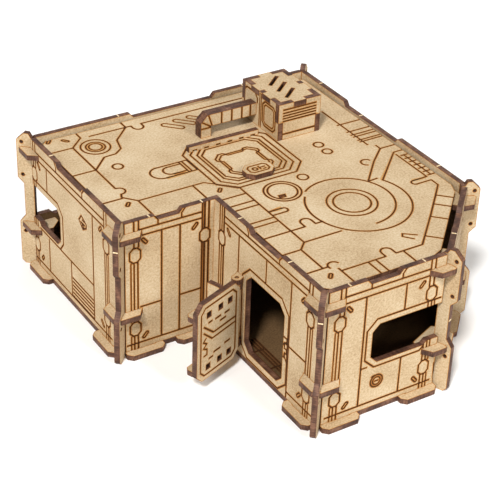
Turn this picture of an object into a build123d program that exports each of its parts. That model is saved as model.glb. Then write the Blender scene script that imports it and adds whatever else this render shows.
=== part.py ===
from build123d import *
import os
from math import sqrt

# A modular building for tabletop games, cut from flat board and slotted together.
# Origin: centre of the footprint, on the table. X runs right, Y runs back, Z runs up.

# driving sizes (mm)
board = 3.0               # thickness of every plate

left_length = 104.0       # left wall, along Y
step_width = 54.0         # front-left wall, along X
step_depth = 98.0         # wall with the door, along Y
front_width = 74.0        # front wall, along X
cut_run = 48.0            # the cut corner takes this much off both X and Y

wall_top = 80.0           # top of a wall's shoulders
wall_dip = 2.5            # the middle of each wall is this much lower
wall_ramp = 2.0           # length of the slope between shoulder and dip
roof_top = 77.0           # top face of the lift-off roof

window_sill = 30.0
window_head = 52.5
window_cut = 4.0          # chamfer of a window's inner corners
sill_step = 2.0           # the sill rises by this much beside a fin
sill_step_length = 12.0   # the raised sill, measured from the corner

tab_length = 12.0         # foot tab of a wall, through the floor
tab_from_corner = 8.0
tenon_height = 12.0       # finger joints at the inside corner
tenon_levels = (14.0, 38.0, 62.0)

foot_from_corner = 2.5    # the floor's feet, beside each corner
foot_length = 22.0
foot_reach = 5.0
foot_cut = 2.5

collar_along = 12.5       # collar plates, measured along each wall from the corner
collar_reach = 5.0
collar_inside = 7.0       # depth behind the wall's outer face
collar_cut = 3.6
collar_nose = 3.4
lower_collar = 24.5       # underside of the lower collar

fin_reach = 6.4           # fins, measured outwards from the corner
fin_neck = 3.0
fin_top = 82.4
fin_lower_top = 27.0      # top of the wide lower part
fin_neck_from = 31.5      # narrow part, beside the windows
fin_neck_to = 51.5
fin_upper_from = 55.0     # start of the wide upper part
fin_shoulder = 78.0       # where the top's outer slope starts
fin_crown = (-0.6, 2.0)   # the flat top runs between these distances from the corner
fin_crown_foot = -2.0     # the top's inner slope starts here, level with the walls
fin_hole_out = 3.4
fin_hole_radius = 1.0
fin_hole_levels = (21.2, 57.0, 77.0)
fin_foot_cut = 2.0

door_from_corner = 32.0   # door opening, from the inside corner
door_width = 35.0
door_bottom = 7.5
door_height = 46.5
door_cut = 4.5
leaf_cut = 4.2
leaf_port = 3.4           # square ports through the leaf
leaf_port_columns = (7.9, 15.4, 24.5)
leaf_port_rows = (7.0, 38.2)
strap_level = (4.0, 36.0)  # undersides of the straps above the leaf's lower edge
strap_reach = 4.5
strap_end_cut = 1.6
rib_from_hinge = 11.6
rib_reach = 3.0
rib_rise = 0.6            # the rib stands past the leaf's upper and lower edges
axis_out = 3.0            # hinge axis, in front of the wall
axis_back = 4.2           # hinge axis, beyond the opening's edge
pin_radius = 1.0
eye_radius = 2.8          # round ends of the lugs and straps
lug_width = 6.0
lug_inside = 2.0          # the lugs show this much behind the wall
pin_sink = 0.8
door_open = 69.0          # the door stands open by this angle at rest

vent_width = 27.0
vent_depth = 37.0
vent_height = 21.5
vent_from_right = 31.5    # from the outer face of the right wall
vent_from_back = 26.5     # from the outer face of the back wall
vent_finger = 10.5        # height of the lower corner finger
vent_tab = 8.0            # tabs of the vent's lid
two_tabs_from = 30.0      # sides longer than this have two tabs
vent_slot = (2.0, 12.5)   # width and length of the lid's slots
vent_slot_pitch = 8.2
vent_slot_angle = 40.0

pipe_run = 35.0
pipe_height = 7.0
pipe_lift = 6.3           # gap below the pipe
pipe_leg = 6.3
pipe_elbow = 4.2
pipe_from_front = 22.0    # from the vent's front face

strip_length = 43.5       # hinge strip of the roof hatch
strip_height = 3.2
strip_to_vent = 5.0
strip_from_front = 11.5   # behind the vent's front face
strip_notch = (2.6, 1.0)  # width and height of the notches below the strip
strip_notches = 6
handle_width = 17.0
handle_depth = 11.5
handle_cut = 3.5
handle_to_strip = 30.0
handle_side = 14.0        # from the strip's right end to the handle

# clearances (mm)
slot_gap = 0.1            # a plate in its slot, all round
fin_gap = 0.1             # fin to wall ends
fin_floor_gap = 0.5       # fin in the floor's slot, each side
roof_gap = 1.2            # roof to walls
roof_gap_front = 3.0      # roof to the front wall and the cut corner
roof_cut = 4.0            # chamfer of the roof's outer corners
door_gap = 0.8            # leaf to the opening's sides
door_gap_ends = 0.25      # leaf to the opening's top and bottom
pin_gap = 0.15            # pin in a strap
pin_fit = 0.03            # pin in a lug
lug_gap = 0.2             # lug to strap

overlap = 1.0             # cuts and joined pieces run this much past a face

os.makedirs("parts", exist_ok=True)

# plan
right_edge = front_width + cut_run
total_depth = step_depth + left_length
# Corners of the walls' outer faces, with the inside of the building on the left.
plan = [
    ("back_left", -step_width, total_depth),
    ("front_left", -step_width, step_depth),
    ("inside", 0.0, step_depth),
    ("front_step", 0.0, 0.0),
    ("front_right", front_width, 0.0),
    ("right", right_edge, cut_run),
    ("back_right", right_edge, total_depth),
]
corner_names = [name for name, x, y in plan]
corners = [Vector(x, y) for name, x, y in plan]
inside_corner = corner_names.index("inside")
convex = [i for i in range(len(plan)) if i != inside_corner]

# Each wall starts at the corner of the same index.
wall_names = ["left", "front_left", "door", "front", "cut_corner", "right", "back"]
shoulders = [(33, 40), (20, 18.5), (32, 37), (25, 29), (24, 24), (57, 46), (62, 60)]
windows = {"left": ("start", 36.5), "front": ("end", 44.0),
           "cut_corner": ("start", 36.0), "back": ("end", 42.0)}


def direction(i):
    return (corners[(i + 1) % len(corners)] - corners[i]).normalized()


def length(i):
    return (corners[(i + 1) % len(corners)] - corners[i]).length


def outward(i):
    d = direction(i)
    return Vector(d.Y, -d.X)


def bisector(i):
    return (outward(i - 1) + outward(i)).normalized()


def footprint_centre():
    """Middle of the box round all feet and fins, seen from above."""
    reach = []
    for i, corner in enumerate(corners):
        reach += [corner + outward(i - 1) * foot_reach, corner + outward(i) * foot_reach]
    for i in convex:
        tip = corners[i] + bisector(i) * fin_reach
        side = Vector(bisector(i).Y, -bisector(i).X) * (board / 2)
        reach += [tip + side, tip - side]
    xs = [p.X for p in reach]
    ys = [p.Y for p in reach]
    return Vector((min(xs) + max(xs)) / 2, (min(ys) + max(ys)) / 2)


centre = footprint_centre()
points = [corner - centre for corner in corners]


def wall_plane(i):
    """X along the wall from its first corner, Y up, Z out of the building."""
    return Plane(points[i], x_dir=direction(i), z_dir=outward(i))


def prism(plane, outline, start, end):
    """The outline, drawn on the plane and filled from start to end along its Z."""
    following = outline[1:] + outline[:1]
    outline = [point for point, after in zip(outline, following) if point != after]
    return extrude(plane.offset(start) * make_face(Polyline(*outline, close=True)), end - start)


def pierce(plate, plane, outline):
    """The plate with the outline cut through it. The plane lies on its outer face."""
    return plate - prism(plane, outline, -board - overlap, overlap)


def rectangle(x0, y0, x1, y1):
    return [(x0, y0), (x1, y0), (x1, y1), (x0, y1)]


def cut_rectangle(x0, y0, x1, y1, cut):
    return [(x0 + cut, y0), (x1 - cut, y0), (x1, y0 + cut), (x1, y1 - cut),
            (x1 - cut, y1), (x0 + cut, y1), (x0, y1 - cut), (x0, y0 + cut)]


def levels(*heights):
    """Walls and collars share these two slot levels."""
    return [(z - slot_gap / 2, z + board + slot_gap / 2) for z in heights]


def save(name, solid):
    solid.label = name
    export_step(solid, os.path.join("parts", name + ".step"))


roof_under = roof_top - board
upper_collar = roof_under - board
collar_levels = {"lower": lower_collar, "upper": upper_collar}
dip_top = wall_top - wall_dip

# floor


def foot_span(i):
    """The two feet of a wall, as distances along it. A foot runs on into the inside corner."""
    near = 0.0 if i == inside_corner else foot_from_corner
    last = (i + 1) % len(points) == inside_corner
    far = length(i) if last else length(i) - foot_from_corner
    return [(near, near + foot_length), (far - foot_length, far)]


def tab_span(i):
    end = length(i)
    return [(tab_from_corner, tab_from_corner + tab_length),
            (end - tab_from_corner - tab_length, end - tab_from_corner)]


def feet(i):
    pads = []
    for start, end in foot_span(i):
        near = 0.0 if start == 0.0 else foot_cut
        far = 0.0 if end == length(i) else foot_cut
        outline = [(start, -overlap), (end, -overlap), (end, foot_reach - far), (end - far, foot_reach),
                   (start + near, foot_reach), (start, foot_reach - near)]
        flat = Plane(points[i], x_dir=direction(i), z_dir=Vector(0, 0, -1))
        pads.append(prism(flat, outline, -board, 0.0))
    return pads


def fin_plane(i):
    """X out along the corner's bisector, Y up."""
    out = bisector(i)
    return Plane(points[i], x_dir=out, z_dir=Vector(out.Y, -out.X))


def fin_inset(i):
    """How far a fin reaches in between the two wall ends."""
    lean = abs(bisector(i).dot(direction(i)))
    across = sqrt(1 - lean ** 2)
    return (board - fin_gap - board / 2 * across) / lean


def make_floor():
    floor = prism(Plane.XY, [(p.X, p.Y) for p in points], 0.0, board)
    for i in range(len(points)):
        for pad in feet(i):
            floor += pad
    for i in range(len(points)):
        for start, end in tab_span(i):
            slot = rectangle(start - slot_gap, 0.0, end + slot_gap, board)
            floor -= prism(wall_plane(i), slot, -board - slot_gap, slot_gap)
    for i in convex:
        half = board / 2 + fin_floor_gap
        slot = rectangle(-fin_inset(i) - slot_gap, 0.0, 2 * fin_reach, board)
        floor -= prism(fin_plane(i), slot, -half, half)
    return floor


# walls


def wall_outline(i):
    end = length(i)
    first = 0.0 if i == inside_corner else board
    last = end + board if (i + 1) % len(points) == inside_corner else end - board
    near, far = shoulders[i]
    outline = [(first, board)]
    for start, stop in tab_span(i):
        outline += [(start, board), (start, 0.0), (stop, 0.0), (stop, board)]
    outline += [(last, board), (last, wall_top), (end - far, wall_top)]
    outline += [(end - far - wall_ramp, dip_top), (near + wall_ramp, dip_top)]
    outline += [(near, wall_top), (first, wall_top)]
    return outline


def window_cutout(i):
    side, reach = windows[wall_names[i]]
    outline = [(0.0, window_sill + sill_step), (sill_step_length - sill_step, window_sill + sill_step),
               (sill_step_length, window_sill), (reach - window_cut, window_sill),
               (reach, window_sill + window_cut), (reach, window_head - window_cut),
               (reach - window_cut, window_head), (0.0, window_head)]
    if side == "end":
        outline = [(length(i) - x, z) for x, z in outline]
    return outline


def make_wall(i):
    plane = wall_plane(i)
    wall = prism(plane, wall_outline(i), -board, 0.0)
    reach = collar_along + slot_gap
    end = length(i)
    for low, high in levels(*collar_levels.values()):
        if i != inside_corner:
            wall = pierce(wall, plane, rectangle(0.0, low, reach, high))
        if (i + 1) % len(points) != inside_corner:
            wall = pierce(wall, plane, rectangle(end - reach, low, end, high))
    for level in tenon_levels:
        if i == inside_corner:
            tenon = rectangle(-board, level, board, level + tenon_height)
            wall += prism(plane, tenon, -board, 0.0)
        if (i + 1) % len(points) == inside_corner:
            socket = rectangle(end, level - slot_gap, end + board + overlap, level + tenon_height + slot_gap)
            wall = pierce(wall, plane, socket)
    if wall_names[i] in windows:
        wall = pierce(wall, plane, window_cutout(i))
    if wall_names[i] == "door":
        opening = cut_rectangle(door_from_corner, door_bottom, door_from_corner + door_width,
                                door_bottom + door_height, door_cut)
        wall = pierce(wall, plane, opening)
        for level in lug_levels:
            slot = rectangle(lug_from - slot_gap, level - slot_gap / 2,
                             lug_from + lug_width + slot_gap, level + board + slot_gap / 2)
            wall = pierce(wall, plane, slot)
    return wall


# fins and collars


def make_fin(i):
    inner = -fin_inset(i)
    crown_start, crown_end = fin_crown
    outline = [(inner, 0.0), (fin_reach - fin_foot_cut, 0.0), (fin_reach, fin_foot_cut),
               (fin_reach, fin_lower_top), (fin_neck, fin_neck_from), (fin_neck, fin_neck_to),
               (fin_reach, fin_upper_from), (fin_reach, fin_shoulder), (crown_end, fin_top),
               (crown_start, fin_top), (fin_crown_foot, wall_top), (inner, wall_top)]
    plane = fin_plane(i)
    fin = prism(plane, outline, -board / 2, board / 2)
    for low, high in levels(*collar_levels.values()):
        fin -= prism(plane, rectangle(inner - overlap, low, fin_neck, high), -board, board)
    for level in fin_hole_levels:
        hole = Cylinder(fin_hole_radius, board + 2 * overlap)
        fin -= plane * Location((fin_hole_out, level, 0)) * hole
    return fin


def make_collar(i, level):
    """An octagon-ended plate round a corner, through both walls, slotted for the fin."""
    corner = points[i]
    sides = [(-direction(i - 1), outward(i - 1)), (direction(i), outward(i))]
    nose = corner + (sides[0][1] + sides[1][1]) * (
        collar_reach / (1 + sides[0][1].dot(sides[1][1])))
    halves = []
    for along, out in sides:
        halves.append([
            corner + along * collar_along - out * collar_inside,
            corner + along * collar_along,
            corner + along * (collar_along - collar_cut) + out * collar_reach,
            nose + along * collar_nose,
        ])
    outline = [(p.X, p.Y) for p in halves[0] + halves[1][::-1]]
    collar = prism(Plane.XY, outline, level, level + board)
    half = board / 2 + slot_gap
    slot = rectangle(fin_neck, level - overlap, 2 * fin_reach, level + board + overlap)
    return collar - prism(fin_plane(i), slot, -half, half)


# roof with hatch, vent and pipe


def offset_plan(offsets):
    """The plan drawn in by one distance for each wall."""
    outline = []
    for i, corner in enumerate(points):
        before, after = offsets[i - 1], offsets[i]
        n0, n1 = outward(i - 1), outward(i)
        det = n0.X * n1.Y - n0.Y * n1.X
        x = (-before * n1.Y + after * n0.Y) / det
        y = (-n0.X * after + n1.X * before) / det
        outline.append(corner + Vector(x, y))
    return outline


def make_roof():
    gaps = [roof_gap_front if name in ("front", "cut_corner") else roof_gap for name in wall_names]
    inner = offset_plan([board + gap for gap in gaps])
    outline = []
    for i, corner in enumerate(inner):
        if i == inside_corner:
            outline.append(corner)
        else:
            outline += [corner - direction(i - 1) * roof_cut, corner + direction(i) * roof_cut]
    return prism(Plane.XY, [(p.X, p.Y) for p in outline], roof_under, roof_top)


vent_right = right_edge - vent_from_right - centre.X
vent_left = vent_right - vent_width
vent_back = total_depth - vent_from_back - centre.Y
vent_front = vent_back - vent_depth
vent_top = roof_top + vent_height
finger_top = roof_top + vent_finger
lid_under = vent_top - board


def upright(origin_x, origin_y, x_dir, z_dir):
    return Plane(Vector(origin_x, origin_y), x_dir=x_dir, z_dir=z_dir)


def lid_tabs(span):
    """Two tabs along a long side, one along a short side."""
    middle = span / 2
    if span > two_tabs_from:
        return [(middle - vent_tab - board / 2, middle - board / 2),
                (middle + board / 2, middle + vent_tab + board / 2)]
    return [(middle - vent_tab / 2, middle + vent_tab / 2)]


def make_vent_end(y_out, facing):
    """Front or back plate: full width above the fingers, between the side plates below."""
    x_dir = Vector(-facing, 0)
    start = vent_left if facing < 0 else vent_right
    plane = upright(start, y_out, x_dir, Vector(0, facing))
    outline = [(board, roof_top), (vent_width - board, roof_top), (vent_width - board, finger_top),
               (vent_width, finger_top), (vent_width, vent_top)]
    for low, high in lid_tabs(vent_width)[::-1]:
        outline += [(high, vent_top), (high, lid_under), (low, lid_under), (low, vent_top)]
    outline += [(0.0, vent_top), (0.0, finger_top), (board, finger_top)]
    return prism(plane, outline, -board, 0.0)


def make_vent_side(x_out, facing):
    """Left or right plate: reaches the outer faces below the fingers."""
    start = vent_back if facing < 0 else vent_front
    plane = upright(x_out, start, Vector(0, facing), Vector(facing, 0))
    outline = [(0.0, roof_top), (vent_depth, roof_top), (vent_depth, finger_top),
               (vent_depth - board, finger_top), (vent_depth - board, vent_top)]
    for low, high in lid_tabs(vent_depth)[::-1]:
        outline += [(high, vent_top), (high, lid_under), (low, lid_under), (low, vent_top)]
    outline += [(board, vent_top), (board, finger_top), (0.0, finger_top)]
    return prism(plane, outline, -board, 0.0)


def make_vent_lid():
    lid = prism(Plane.XY, rectangle(vent_left + board, vent_front + board,
                                    vent_right - board, vent_back - board), lid_under, vent_top)
    for low, high in lid_tabs(vent_width):
        lid += prism(Plane.XY, rectangle(vent_left + low, vent_front, vent_left + high, vent_back),
                     lid_under, vent_top)
    for low, high in lid_tabs(vent_depth):
        lid += prism(Plane.XY, rectangle(vent_left, vent_front + low, vent_right, vent_front + high),
                     lid_under, vent_top)
    width, span = vent_slot
    for k in (-1, 0, 1):
        middle = Vector((vent_left + vent_right) / 2, (vent_front + vent_back) / 2)
        place = Pos(middle.X, middle.Y + k * vent_slot_pitch, lid_under + board / 2)
        lid -= place * Rot(0, 0, vent_slot_angle) * Box(span, width, board + 2 * overlap)
    return lid


def make_pipe_layer(front):
    low = roof_top + pipe_lift
    high = low + pipe_height
    outline = [(0.0, roof_top), (pipe_leg, roof_top), (pipe_leg, low), (pipe_run, low),
               (pipe_run, high), (pipe_elbow, high), (0.0, high - pipe_elbow)]
    plane = upright(vent_left - pipe_run, front, Vector(1, 0), Vector(0, -1))
    return prism(plane, outline, -board, 0.0)


strip_right = vent_left - strip_to_vent
strip_left = strip_right - strip_length
strip_front = vent_front + strip_from_front


def make_strip():
    width, height = strip_notch
    top = roof_top + strip_height
    pitch = strip_length / strip_notches
    plane = upright(strip_left, strip_front, Vector(1, 0), Vector(0, -1))
    strip = prism(plane, rectangle(0.0, roof_top, strip_length, top), -board, 0.0)
    for k in range(strip_notches):
        middle = (k + 0.5) * pitch
        notch = rectangle(middle - width / 2, roof_top, middle + width / 2, roof_top + height)
        strip = pierce(strip, plane, notch)
    return strip


def make_handle():
    right = strip_right - handle_side
    back = strip_front - handle_to_strip
    outline = cut_rectangle(right - handle_width, back - handle_depth, right, back, handle_cut)
    return prism(Plane.XY, outline, roof_top, roof_top + board)


# door
# The door's pieces are drawn closed on the wall's plane and then swung open about the pins.

door_wall = inside_corner
leaf_bottom = door_bottom + door_gap_ends
leaf_top = door_bottom + door_height - door_gap_ends
leaf_near = door_from_corner + door_gap
leaf_far = door_from_corner + door_width - door_gap
axis_along = door_from_corner - axis_back
strap_levels = [leaf_bottom + level for level in strap_level]
# The lower lug lies below its strap and the upper lug lies above its strap.
lug_levels = [strap_levels[0] - lug_gap - board, strap_levels[1] + board + lug_gap]
lug_from = axis_along - lug_width + eye_radius / 2

door_frame = wall_plane(door_wall)
axis_point = door_frame.from_local_coords(Vector(axis_along, 0, axis_out))


def swing_open(piece):
    return piece.rotate(Axis(axis_point, (0, 0, 1)), -door_open)


def make_leaf():
    outline = cut_rectangle(leaf_near, leaf_bottom, leaf_far, leaf_top, leaf_cut)
    leaf = prism(door_frame, outline, -board, 0.0)
    for column in leaf_port_columns:
        for row in leaf_port_rows:
            x = leaf_near + column
            z = leaf_bottom + row
            port = rectangle(x - leaf_port / 2, z - leaf_port / 2, x + leaf_port / 2, z + leaf_port / 2)
            leaf = pierce(leaf, door_frame, port)
    return leaf


def flat_plane(level):
    """X along the door wall, Y out of the building, Z down, at the given level."""
    origin = points[door_wall] + Vector(0, 0, level)
    return Plane(origin, x_dir=direction(door_wall), z_dir=Vector(0, 0, -1))


def make_strap(level):
    """A long plate on the leaf's outer face that ends in an eye on the hinge pin."""
    outline = [(axis_along, axis_out - eye_radius), (leaf_near, 0.0), (leaf_far, 0.0),
               (leaf_far, strap_reach - strap_end_cut), (leaf_far - strap_end_cut, strap_reach),
               (leaf_near, strap_reach), (axis_along, axis_out + eye_radius)]
    plane = flat_plane(level)
    strap = prism(plane, outline, -board, 0.0)
    eye = plane * Location((axis_along, axis_out, -board / 2))
    strap += eye * Cylinder(eye_radius, board)
    strap -= eye * Cylinder(pin_radius + pin_gap, board + 2 * overlap)
    return strap


def make_lug(level):
    """A plate through the door wall with a round end that holds the pin."""
    last = lug_from + lug_width
    outline = [(lug_from, -board - lug_inside), (last, -board - lug_inside), (last, 0.0),
               (axis_along + eye_radius, axis_out), (axis_along - eye_radius, axis_out), (lug_from, 0.0)]
    plane = flat_plane(level)
    lug = prism(plane, outline, -board, 0.0)
    eye = plane * Location((axis_along, axis_out, -board / 2))
    lug += eye * Cylinder(eye_radius, board)
    lug -= eye * Cylinder(pin_radius + pin_fit, board + 2 * overlap)
    return lug


def make_pin(strap, lug):
    """Lies in a strap and its lug, sunk below the outer faces of the pair."""
    low = min(strap, lug) + pin_sink
    high = max(strap, lug) + board - pin_sink
    place = Pos(axis_point.X, axis_point.Y, (low + high) / 2)
    return place * Cylinder(pin_radius, high - low)


def make_rib():
    """An upright on the leaf's outer face, notched over both straps."""
    x = leaf_near + rib_from_hinge
    body = rectangle(x - board / 2, leaf_bottom - rib_rise, x + board / 2, leaf_top + rib_rise)
    rib = prism(door_frame, body, 0.0, rib_reach + strap_reach)
    for level in strap_levels:
        notch = rectangle(x - board, level - slot_gap / 2, x + board, level + board + slot_gap / 2)
        rib -= prism(door_frame, notch, -board, strap_reach)
    return rib


# write the parts
save("floor_plate", make_floor())
for i, name in enumerate(wall_names):
    save("wall_" + name, make_wall(i))
for i in convex:
    save("fin_" + corner_names[i], make_fin(i))
    for height, level in collar_levels.items():
        save("collar_" + height + "_" + corner_names[i], make_collar(i, level))

save("roof_plate", make_roof())
save("vent_front_plate", make_vent_end(vent_front, -1))
save("vent_back_plate", make_vent_end(vent_back, 1))
save("vent_left_plate", make_vent_side(vent_left, -1))
save("vent_right_plate", make_vent_side(vent_right, 1))
save("vent_lid_plate", make_vent_lid())
pipe_front = vent_front + pipe_from_front
save("pipe_front_layer", make_pipe_layer(pipe_front))
save("pipe_back_layer", make_pipe_layer(pipe_front + board))
save("hatch_hinge_strip", make_strip())
save("hatch_handle_plate", make_handle())

save("door_leaf", swing_open(make_leaf()))
save("door_rib", swing_open(make_rib()))
for name, strap, lug in zip(("lower", "upper"), strap_levels, lug_levels):
    save("door_strap_" + name, swing_open(make_strap(strap)))
    save("hinge_lug_" + name, make_lug(lug))
    save("hinge_pin_" + name, make_pin(strap, lug))

print("hinge axis", tuple(round(v, 3) for v in (axis_point.X, axis_point.Y, axis_point.Z)))
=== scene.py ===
import math
import bpy
import numpy as np
from mathutils import Matrix, Vector
from mathutils.geometry import delaunay_2d_cdt


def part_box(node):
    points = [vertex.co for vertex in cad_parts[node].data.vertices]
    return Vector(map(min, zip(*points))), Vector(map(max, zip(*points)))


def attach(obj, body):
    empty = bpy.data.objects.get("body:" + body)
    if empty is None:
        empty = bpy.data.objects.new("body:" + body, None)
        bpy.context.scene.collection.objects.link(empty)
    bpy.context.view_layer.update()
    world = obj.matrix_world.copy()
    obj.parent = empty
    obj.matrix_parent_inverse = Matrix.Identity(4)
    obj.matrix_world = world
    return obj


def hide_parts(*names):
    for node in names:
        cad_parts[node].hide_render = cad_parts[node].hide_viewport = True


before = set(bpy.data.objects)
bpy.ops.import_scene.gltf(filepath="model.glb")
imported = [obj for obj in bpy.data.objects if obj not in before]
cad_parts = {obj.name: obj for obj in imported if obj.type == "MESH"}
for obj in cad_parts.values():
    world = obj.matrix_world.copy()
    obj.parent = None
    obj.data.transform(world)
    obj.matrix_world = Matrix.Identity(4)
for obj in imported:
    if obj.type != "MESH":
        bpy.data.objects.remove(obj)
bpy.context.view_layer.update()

from types import SimpleNamespace

# A laser-cut board building for tabletop games: every plate is rebuilt from its CAD outline,
# with engraved lines cut into its face and scorched edges.

mm = 0.001
scene = bpy.context.scene

# place in mm, angles in degrees, lens in mm
view = {"place": (-375.37, -560.93, 467.6), "azimuth": -33.04, "elevation": 32.53, "roll": 2.26,
        "lens": 109.22}


def placeCamera(place, azimuth, elevation, roll, lens):
    az, el, turn = (math.radians(a) for a in (azimuth, elevation, roll))
    back = Vector((math.sin(az) * math.cos(el), -math.cos(az) * math.cos(el), math.sin(el)))
    level = Vector((math.cos(az), math.sin(az), 0))
    upright = back.cross(level)
    right = level * math.cos(turn) + upright * math.sin(turn)
    up = upright * math.cos(turn) - level * math.sin(turn)
    data = bpy.data.cameras.new("camera")
    data.lens = lens
    data.clip_end = 50       # m, beyond the far side of the floor
    camera = bpy.data.objects.new("camera", data)
    camera.matrix_world = Matrix((right, up, back)).transposed().to_4x4()
    camera.location = Vector(place) * mm
    scene.collection.objects.link(camera)
    scene.camera = camera


placeCamera(**view)
print("camera placed")

studio = {
    "floorColour": "#fbfaf8", "floorRoughness": 0.9, "floorSpecular": 0.2,   # matt white paper
    "floorSize": 40.0,          # m
    "skyBand": [(0.50, 0.10), (0.60, 0.14), (0.70, 0.22), (1.0, 0.12)],  # a dim room with a paler band above
    "lamps": [                  # name, direction it stands in, strength, width of the softbox in degrees
        ("key", (-0.50, -0.42, 0.76), 3.1, 9),
        ("side", (-0.80, -0.30, 0.52), 0.45, 14),
        ("front", (0.22, -0.80, 0.56), 1.4, 14),
        ("back", (0.45, 0.62, 0.64), 0.6, 40),
    ],
}


def toLinear(hexColour):
    parts = [int(hexColour[i:i + 2], 16) / 255 for i in (1, 3, 5)]
    return tuple(c / 12.92 if c <= 0.04045 else ((c + 0.055) / 1.055) ** 2.4 for c in parts) + (1.0,)


def addNode(tree, kind, settings=None, links=None):
    # settings go to sockets by name or number, to a ramp's stops, or to the node itself;
    # links map a socket to an output
    node = tree.nodes.new(kind)
    for key, value in (settings or {}).items():
        if key == "stops":
            elements = node.color_ramp.elements
            while len(elements) < len(value):
                elements.new(0.5)
            for element, (at, colour) in zip(elements, value):
                element.position = at
                element.color = toLinear(colour) if isinstance(colour, str) else (colour, colour, colour, 1.0)
        elif isinstance(key, int) or key in node.inputs:
            node.inputs[key].default_value = value
        else:
            setattr(node, key, value)
    for key, output in (links or {}).items():
        tree.links.new(output, node.inputs[key])
    return node


def lightRoom():
    world = bpy.data.worlds.new("softbox")
    world.use_nodes = True
    tree = world.node_tree
    spot = addNode(tree, "ShaderNodeTexCoord")
    height = addNode(tree, "ShaderNodeSeparateXYZ", {}, {0: spot.outputs["Generated"]})
    share = addNode(tree, "ShaderNodeMath", {"operation": "MULTIPLY_ADD", 1: 0.5, 2: 0.5},
                    {0: height.outputs["Z"]})        # 0 straight down, 1 straight up
    sky = addNode(tree, "ShaderNodeValToRGB", {"stops": studio["skyBand"]}, {"Fac": share.outputs[0]})
    tree.links.new(sky.outputs["Color"], tree.nodes["Background"].inputs["Color"])
    scene.world = world


def hangLamps():
    for name, direction, strength, width in studio["lamps"]:
        data = bpy.data.lights.new(name, "SUN")
        data.energy = strength
        data.angle = math.radians(width)
        lamp = bpy.data.objects.new(name, data)
        lamp.location = direction
        lamp.rotation_euler = Vector(direction).to_track_quat("Z", "Y").to_euler()
        scene.collection.objects.link(lamp)


def layFloor():
    half = studio["floorSize"] / 2
    corners = [(-half, -half, 0), (half, -half, 0), (half, half, 0), (-half, half, 0)]
    mesh = bpy.data.meshes.new("paperFloor")
    mesh.from_pydata(corners, [], [(0, 1, 2, 3)])
    floor = bpy.data.objects.new("paperFloor", mesh)
    paper = bpy.data.materials.new("mattWhitePaper")
    paper.use_nodes = True
    shader = paper.node_tree.nodes["Principled BSDF"]
    shader.inputs["Base Color"].default_value = toLinear(studio["floorColour"])
    shader.inputs["Roughness"].default_value = studio["floorRoughness"]
    shader.inputs["Specular IOR Level"].default_value = studio["floorSpecular"]
    mesh.materials.append(paper)
    scene.collection.objects.link(floor)


lightRoom()
hangLamps()
layFloor()
scene.view_settings.view_transform = "Standard"
print("studio lit")


def newMaterial(name, roughness, specular):
    # boardPlace is a point's place on its plate in mm, which keeps grain and flecks at their real size
    material = bpy.data.materials.new(name)
    material.use_nodes = True
    tree = material.node_tree
    shader = tree.nodes["Principled BSDF"]
    shader.inputs["Roughness"].default_value = roughness
    shader.inputs["Specular IOR Level"].default_value = specular
    shader.inputs["IOR"].default_value = 1.5
    place = addNode(tree, "ShaderNodeAttribute", {"attribute_name": "boardPlace"})
    return material, tree, shader, place.outputs["Vector"]


# sizes in mm; each tone is a colour at a share of the noise
sandedBoard = {
    "roughness": 0.74, "specular": 0.3,
    "tones": [(0.36, "#9c7f59"), (0.5, "#c2a985"), (0.62, "#d2bf9f")],     # face without the painted shade
    "paintedShade": [(0.36, "#47341e"), (0.5, "#62492d"), (0.62, "#73583a")],    # inner face, darkened as painted shade of the interior
    "paintedShadeFades": (69.0, 77.0),                                            # height where the painted shade thins out
    "rim": [(0.0, "#ffffff"), (0.25, "#f8dcaa"), (0.6, "#dca050"), (1.0, "#7c4a1c")],
    "rimEven": 0.45, "rimCloudy": 1.1,                                     # steady and patchy share of it
    "fleckSize": 1.1, "fibreSize": 0.45, "cloudSize": 26.0,
    "cloudShare": 0.35, "fibreShare": 0.22,
    "bumpDepth": 0.05, "bumpStrength": 0.35,
}


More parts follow.
